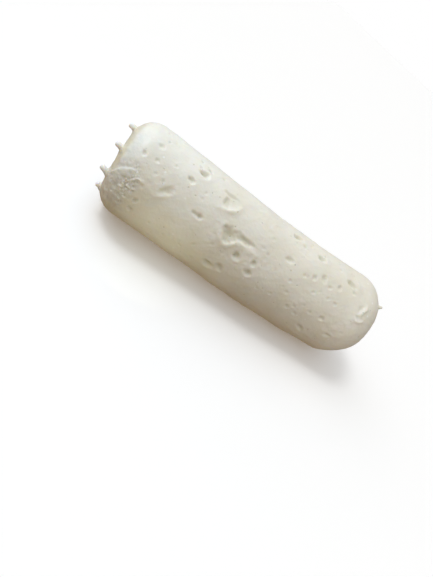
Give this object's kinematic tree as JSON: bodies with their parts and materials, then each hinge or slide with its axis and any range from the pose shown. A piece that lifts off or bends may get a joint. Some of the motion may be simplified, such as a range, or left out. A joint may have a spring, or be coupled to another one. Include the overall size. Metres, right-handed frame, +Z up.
{
  "type": "mozzarella loaf",
  "caption": "Whole cylindrical mozzarella loaf lying on its side, slightly bowed, with rounded ends, a dented skin and small curd pegs on one end; food for slicing or grating.",
  "frame": {"origin": "on the resting flat, under the middle of the loaf's length", "axes": "+X along the loaf from the drain end to the plain end, -Y the front, +Z up from the resting flat"},
  "size_m": [0.2468, 0.077, 0.0767],
  "materials": {
    "curd": null
  },
  "bodies": {
    "root": {"loaf": "curd"}
  },
  "joints": []
}
